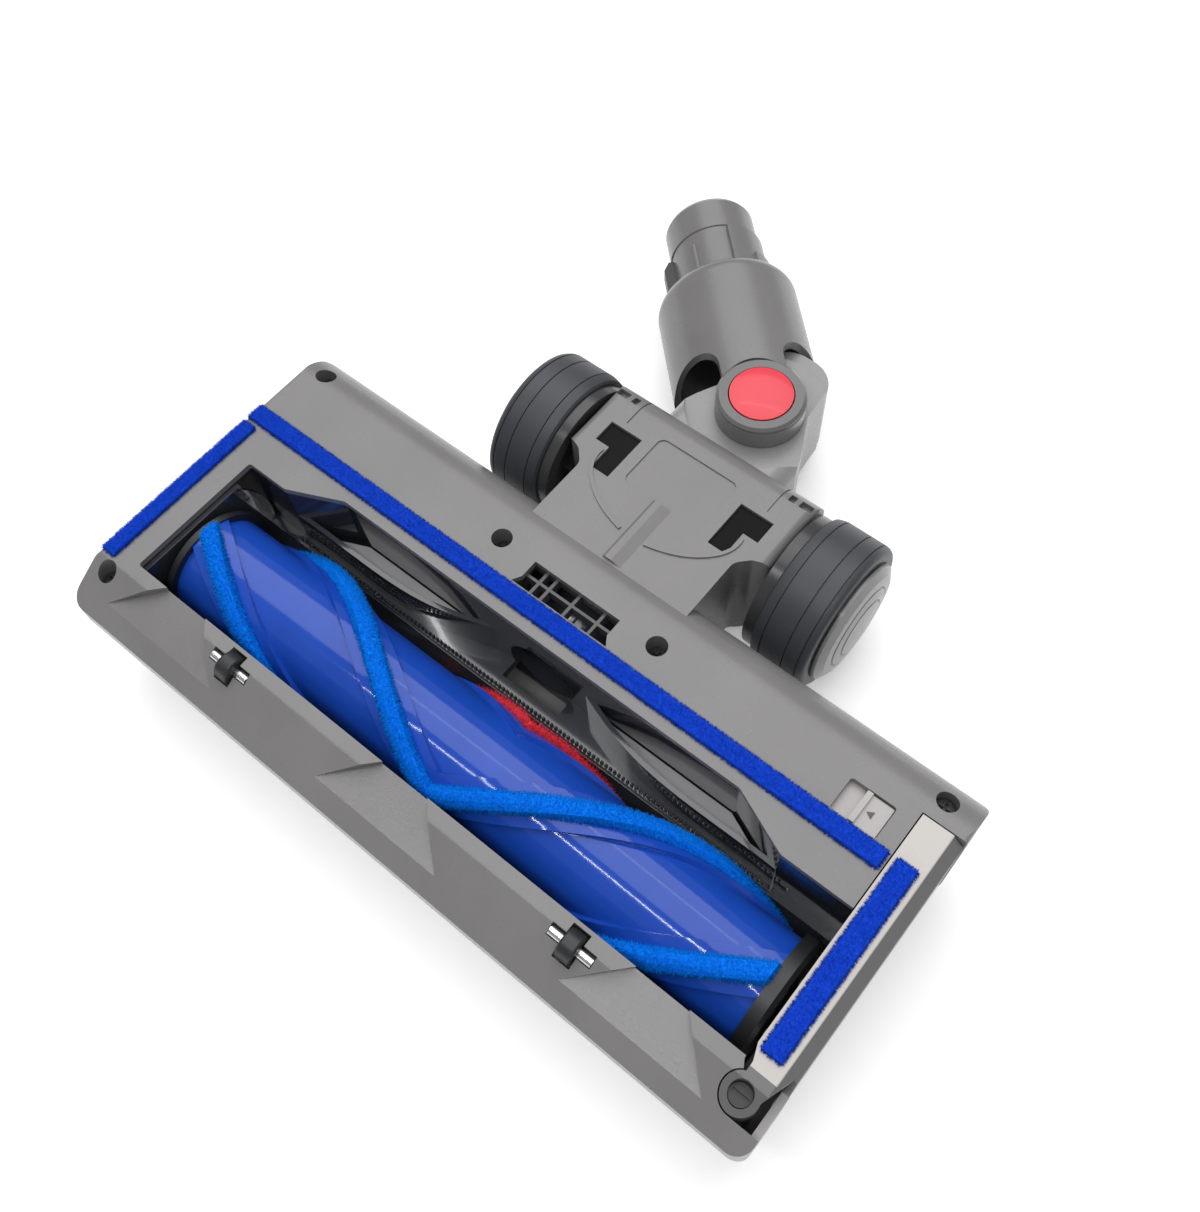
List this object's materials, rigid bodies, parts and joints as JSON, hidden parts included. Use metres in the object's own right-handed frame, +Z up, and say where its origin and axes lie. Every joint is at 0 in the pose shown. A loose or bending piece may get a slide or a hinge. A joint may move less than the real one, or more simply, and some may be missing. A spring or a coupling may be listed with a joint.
{
  "type": "vacuum floor head",
  "caption": "Powered vacuum floor head lying sole up: wide mouth with a helical strip brush, felt seals, side door, wheeled carriage and a swivelling neck tube.",
  "frame": {"origin": "bottom centre of the box of the whole head, on the floor it lies on", "axes": "X along the brush, Y from the brush back to the neck, Z up out of the sole"},
  "size_m": [0.25, 0.26, 0.0533],
  "materials": {
    "grey_shell": "satin moulded grey",
    "light_grey": "satin light grey",
    "dark_grey": "satin dark grey",
    "black_plastic": "glossy black",
    "brush_blue": "glossy blue",
    "plush_pile": "blue plush pile",
    "felt_pile": "blue felt pile",
    "red_bristle": "red bristles",
    "red_button": "glossy red",
    "steel": "bright steel",
    "tyre_rubber": "grey rubber"
  },
  "bodies": {
    "head": {"top_housing": "light_grey", "soleplate": "grey_shell", "brush_chamber": "black_plastic", "shelf_left": "grey_shell", "shelf_right": "grey_shell", "airway_duct": "black_plastic", "airway_grille": "dark_grey", "rear_felt": "felt_pile", "left_felt": "felt_pile", "comb_strip": "black_plastic", "sole_screw_middle_left": "black_plastic", "sole_screw_middle_right": "black_plastic", "sole_screw_rear_left": "black_plastic", "sole_screw_rear_right": "black_plastic", "sole_screw_front_left": "black_plastic", "door_pivot_screw": "black_plastic", "motor_mount": "black_plastic", "brush_motor": "steel", "end_bush": "steel", "front_axle_left": "steel", "front_axle_right": "steel", "carriage": "grey_shell", "window_liner_left": "black_plastic", "window_liner_right": "black_plastic", "axle_left": "steel", "axle_right": "steel"},
    "brush": {"brush_tube": "brush_blue", "plush_strip_front": "plush_pile", "plush_strip_rear": "plush_pile", "bristle_strip": "red_bristle", "brush_ring": "black_plastic", "drive_coupler": "black_plastic", "brush_end_cap": "black_plastic"},
    "wheel_left": {"tyre_left": "tyre_rubber", "hub_left": "dark_grey", "hub_cap_left": "grey_shell"},
    "wheel_right": {"tyre_right": "tyre_rubber", "hub_right": "dark_grey", "hub_cap_right": "grey_shell"},
    "roller_left": {"front_roller_left": "black_plastic"},
    "roller_right": {"front_roller_right": "black_plastic"},
    "door": {"end_door": "grey_shell", "door_felt": "felt_pile"},
    "latch": {"latch_slider": "light_grey"},
    "neck": {"lower_neck": "grey_shell"},
    "tube": {"upper_tube": "grey_shell", "spigot": "grey_shell", "bezel_ring": "dark_grey", "contact_blade": "dark_grey"},
    "button": {"release_button": "red_button"}
  },
  "joints": [
    {"name": "brush_spin", "type": "hinge", "parent": "head", "child": "brush", "pos_m": [0, -0.0912, 0.0286], "axis": [1, 0, 0], "continuous": true},
    {"name": "wheel_left_spin", "type": "hinge", "parent": "head", "child": "wheel_left", "pos_m": [-0.0022, 0.0143, 0.0278], "axis": [1, 0, 0], "continuous": true},
    {"name": "wheel_right_spin", "type": "hinge", "parent": "head", "child": "wheel_right", "pos_m": [-0.0022, 0.0143, 0.0278], "axis": [1, 0, 0], "continuous": true},
    {"name": "roller_left_spin", "type": "hinge", "parent": "head", "child": "roller_left", "pos_m": [-0.0657, -0.11655, 0.0488], "axis": [1, 0, 0], "continuous": true},
    {"name": "roller_right_spin", "type": "hinge", "parent": "head", "child": "roller_right", "pos_m": [0.0613, -0.11655, 0.0488], "axis": [1, 0, 0], "continuous": true},
    {"name": "door_swing", "type": "hinge", "parent": "head", "child": "door", "pos_m": [0.1155, -0.1182, 0.051], "axis": [0, 0, -1], "range_deg": [0, 70]},
    {"name": "latch_slide", "type": "slide", "parent": "head", "child": "latch", "axis": [-1, 0, 0], "range_m": [0, 0.005]},
    {"name": "neck_tilt", "type": "hinge", "parent": "head", "child": "neck", "pos_m": [-0.0022, 0.0143, 0.0278], "axis": [-1, 0, 0], "range_deg": [0, 80]},
    {"name": "tube_swivel", "type": "hinge", "parent": "neck", "child": "tube", "pos_m": [-0.0022, 0.0533, 0.0245], "axis": [0, 0, 1], "range_deg": [-94.5, 1.5]},
    {"name": "button_push", "type": "slide", "parent": "tube", "child": "button", "axis": [0, 0, -1], "range_m": [0, 0.002], "stiffness_N_per_m": 400}
  ]
}
